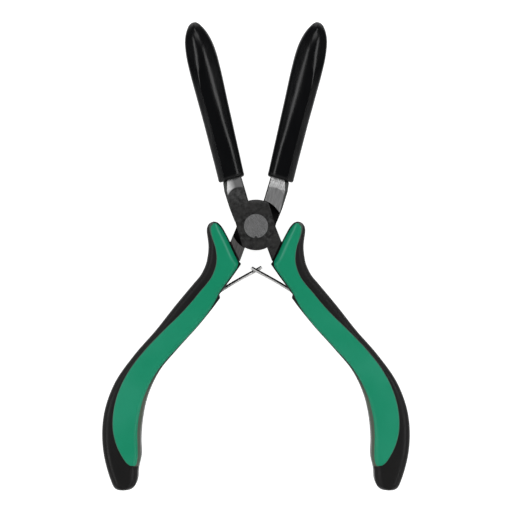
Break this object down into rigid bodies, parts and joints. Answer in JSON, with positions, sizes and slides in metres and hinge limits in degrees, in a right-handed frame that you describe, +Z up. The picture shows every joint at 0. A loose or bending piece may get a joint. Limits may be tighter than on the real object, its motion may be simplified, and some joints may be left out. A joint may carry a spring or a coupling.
{
  "type": "flat nose pliers",
  "caption": "Jewellery pliers, open: black slip-on sleeves over flat jaws, riveted lap joint, double leaf spring, curved green and black grips.",
  "frame": {"origin": "bottom centre of the tool's box as it lies flat, open at rest", "axes": "+Z up out of the table, +Y along the middle line towards the jaw tips, +X to the right seen from above"},
  "size_m": [0.0888, 0.1356, 0.0126],
  "materials": {
    "dark_steel": "blackened forged steel with bright ground facets",
    "rivet_steel": "fine ground, satin",
    "spring_steel": "bright rolled strip",
    "grip_black": "moulded, low sheen",
    "grip_green": "soft moulded, satin",
    "sleeve_black": "glossy dipped vinyl"
  },
  "bodies": {
    "lower_half": {"lower_half_steel": "dark_steel", "pivot_rivet": "rivet_steel", "left_grip_body": "grip_black", "left_grip_front_inlay": "grip_green", "left_grip_rear_inlay": "grip_green", "left_leaf_spring_root": "spring_steel", "left_leaf_rivet": "rivet_steel"},
    "upper_half": {"upper_half_steel": "dark_steel", "right_grip_body": "grip_black", "right_grip_front_inlay": "grip_green", "right_grip_rear_inlay": "grip_green", "right_leaf_spring_root": "spring_steel", "right_leaf_rivet": "rivet_steel"},
    "left_leaf": {"left_leaf_spring_blade": "spring_steel"},
    "right_leaf": {"right_leaf_spring_blade": "spring_steel"},
    "left_sleeve": {"left_jaw_sleeve": "sleeve_black"},
    "right_sleeve": {"right_jaw_sleeve": "sleeve_black"}
  },
  "joints": [
    {"name": "main_pivot", "type": "hinge", "parent": "lower_half", "child": "upper_half", "pos_m": [0, 0.00864, 0.0063], "axis": [0, 0, -1], "range_deg": [0, 24.6], "stiffness_Nm_per_rad": 0.9, "springref_deg": -5.73},
    {"name": "left_leaf_bend", "type": "hinge", "parent": "lower_half", "child": "left_leaf", "pos_m": [-0.01057, -0.01004, 0.0063], "axis": [0, 0, 1], "range_deg": [0, 15.5]},
    {"name": "right_leaf_bend", "type": "hinge", "parent": "upper_half", "child": "right_leaf", "pos_m": [0.01057, -0.01004, 0.0063], "axis": [0, 0, -1], "range_deg": [0, 15.5]},
    {"name": "left_sleeve_slide", "type": "slide", "parent": "upper_half", "child": "left_sleeve", "axis": [-0.2147, 0.9767, 0], "range_m": [0, 0.046]},
    {"name": "right_sleeve_slide", "type": "slide", "parent": "lower_half", "child": "right_sleeve", "axis": [0.2147, 0.9767, 0], "range_m": [0, 0.046]}
  ],
  "couplings": [
    {"joint": "left_leaf_bend", "follows": "main_pivot", "ratio": 0.6257},
    {"joint": "right_leaf_bend", "follows": "main_pivot", "ratio": 0.6257}
  ]
}
